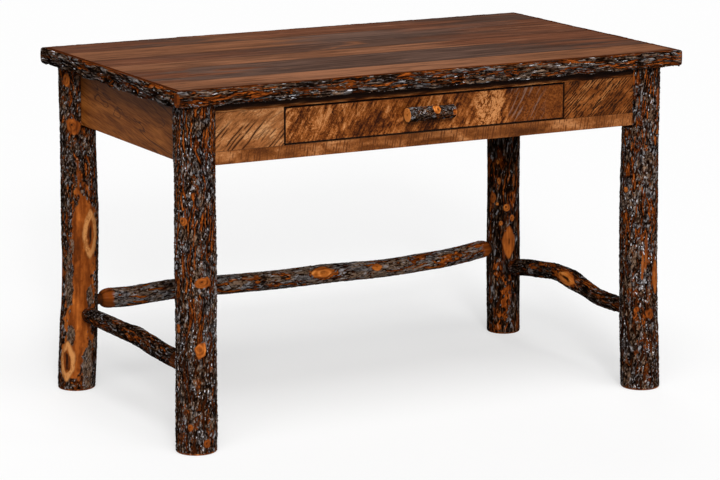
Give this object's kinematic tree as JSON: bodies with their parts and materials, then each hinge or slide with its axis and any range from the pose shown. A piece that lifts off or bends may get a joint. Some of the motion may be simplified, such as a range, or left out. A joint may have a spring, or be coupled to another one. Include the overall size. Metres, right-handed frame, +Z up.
{
  "type": "log desk",
  "caption": "Rustic writing desk: plank top edged with half logs, boarded apron with a dovetailed drawer on a twig pull, notched bark-on log legs joined by crooked log stretchers.",
  "frame": {"origin": "on the floor under the middle of the top", "axes": "+X along the desk to the right of someone facing its front, +Y to the back, +Z up"},
  "size_m": [1.2188, 0.711, 0.762],
  "materials": {
    "bark": "rough hickory bark under satin varnish",
    "top_wood": "stained planks, satin varnish",
    "apron_wood": "rough-sawn boards, stained, satin varnish",
    "drawer_front_wood": "planed board, stained, satin varnish",
    "inner_wood": "plain planed softwood",
    "drawer_box_wood": "clear-coated light wood",
    "steel": "zinc plated"
  },
  "bodies": {
    "frame": {"top_board_1": "top_wood", "top_board_2": "top_wood", "top_board_3": "top_wood", "top_board_4": "top_wood", "top_board_5": "top_wood", "top_board_6": "top_wood", "trim_front": "bark", "trim_right": "bark", "trim_back": "bark", "trim_left": "bark", "leg_front_left": "bark", "leg_front_right": "bark", "leg_rear_left": "bark", "leg_rear_right": "bark", "stretcher_rear": "bark", "stretcher_left": "bark", "stretcher_right": "bark", "front_top_rail": "apron_wood", "front_bottom_rail": "apron_wood", "front_left_panel": "apron_wood", "front_right_panel": "apron_wood", "left_apron": "apron_wood", "right_apron": "apron_wood", "back_apron": "apron_wood", "corner_block_front_left": "inner_wood", "corner_block_front_right": "inner_wood", "corner_block_rear_left": "inner_wood", "corner_block_rear_right": "inner_wood", "top_cleat_left": "inner_wood", "top_cleat_right": "inner_wood", "drawer_runner_left": "inner_wood", "drawer_runner_right": "inner_wood", "drawer_guide_left": "inner_wood", "drawer_guide_right": "inner_wood", "drawer_kicker_left": "inner_wood", "drawer_kicker_right": "inner_wood", "drawer_stop_left": "inner_wood", "drawer_stop_right": "inner_wood", "leg_bolt_front_left_lower": "steel", "leg_bolt_front_left_upper": "steel", "leg_bolt_front_right_lower": "steel", "leg_bolt_front_right_upper": "steel", "leg_bolt_rear_left_lower": "steel", "leg_bolt_rear_left_upper": "steel", "leg_bolt_rear_right_lower": "steel", "leg_bolt_rear_right_upper": "steel"},
    "drawer": {"drawer_front": "drawer_front_wood", "drawer_side_left": "drawer_box_wood", "drawer_side_right": "drawer_box_wood", "drawer_back": "drawer_box_wood", "drawer_bottom": "drawer_box_wood", "drawer_catch_left": "inner_wood", "drawer_catch_right": "inner_wood", "drawer_pull": "bark", "pull_post_left": "bark", "pull_post_right": "bark", "pull_screw_left": "steel", "pull_screw_right": "steel"}
  },
  "joints": [
    {"name": "drawer_slide", "type": "slide", "parent": "frame", "child": "drawer", "axis": [0, -1, 0], "range_m": [0, 0.36]}
  ]
}
